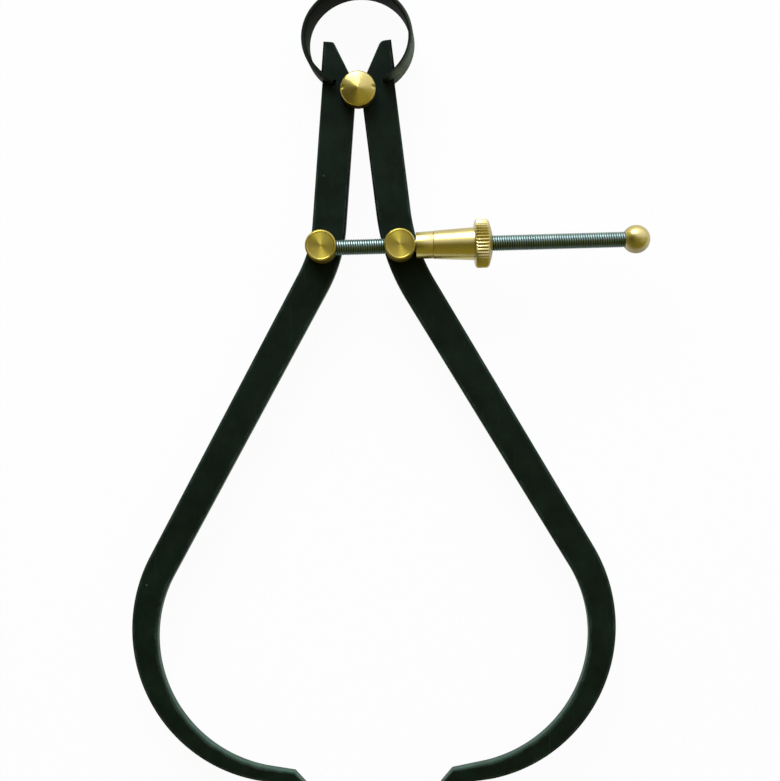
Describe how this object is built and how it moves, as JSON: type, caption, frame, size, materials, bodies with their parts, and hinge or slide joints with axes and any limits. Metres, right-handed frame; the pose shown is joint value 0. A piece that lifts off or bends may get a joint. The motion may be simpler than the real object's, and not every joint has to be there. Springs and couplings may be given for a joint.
{
  "type": "spring caliper",
  "caption": "Outside spring caliper: blackened bowed legs on a brass fulcrum, a ring spring at the top, and a knurled brass nut on a fine cross screw that sets the jaw opening.",
  "frame": {"origin": "centre of the fulcrum roller's flat rear face, on the plane that the caliper lies on", "axes": "+Z out of the front of the caliper, +Y along its middle line from the jaws up to the bow, +X along the adjusting screw to its ball"},
  "size_m": [0.113, 0.1719, 0.0152],
  "materials": {
    "leg_steel": "blackened",
    "spring_steel": "blackened",
    "brass": "turned",
    "screw_steel": "satin"
  },
  "bodies": {
    "bow": {"bow_spring": "spring_steel", "fulcrum_roller": "brass"},
    "left_leg": {"left_leg": "leg_steel"},
    "right_leg": {"right_leg": "leg_steel"},
    "screw": {"left_stud": "brass", "adjusting_screw": "screw_steel", "screw_ball": "brass"},
    "right_stud": {"right_stud": "brass"},
    "collar": {"thrust_collar": "brass"},
    "nut": {"adjusting_nut": "brass"}
  },
  "joints": [
    {"name": "right_leg_swing", "type": "hinge", "parent": "bow", "child": "right_leg", "pos_m": [0, 0, 0.0051], "axis": [0, 0, 1], "range_deg": [-5.4, 24.2], "deforming": ["bow_spring"]},
    {"name": "left_leg_swing", "type": "hinge", "parent": "bow", "child": "left_leg", "pos_m": [0, 0, 0.0051], "axis": [0, 0, 1], "range_deg": [-24.2, 5.4], "deforming": ["bow_spring"]},
    {"name": "left_stud_swivel", "type": "hinge", "parent": "left_leg", "child": "screw", "pos_m": [-0.00831, -0.03355, 0.0051], "axis": [0, 0, 1], "range_deg": [-5.4, 24.2]},
    {"name": "right_stud_swivel", "type": "hinge", "parent": "right_leg", "child": "right_stud", "pos_m": [0.00831, -0.03355, 0.0051], "axis": [0, 0, 1], "range_deg": [-24.2, 5.4]},
    {"name": "nut_turn", "type": "hinge", "parent": "right_stud", "child": "nut", "pos_m": [0.0162, -0.03355, 0.01005], "axis": [1, 0, 0], "range_deg": [-4250, 19080]},
    {"name": "collar_turn", "type": "hinge", "parent": "right_stud", "child": "collar", "pos_m": [0.0135, -0.03355, 0.01005], "axis": [1, 0, 0], "continuous": true}
  ],
  "couplings": [
    {"joint": "right_leg_swing", "follows": "nut_turn", "ratio": 0.0012677},
    {"joint": "left_leg_swing", "follows": "nut_turn", "ratio": -0.0012677},
    {"joint": "left_stud_swivel", "follows": "nut_turn", "ratio": 0.0012677},
    {"joint": "right_stud_swivel", "follows": "nut_turn", "ratio": -0.0012677}
  ]
}
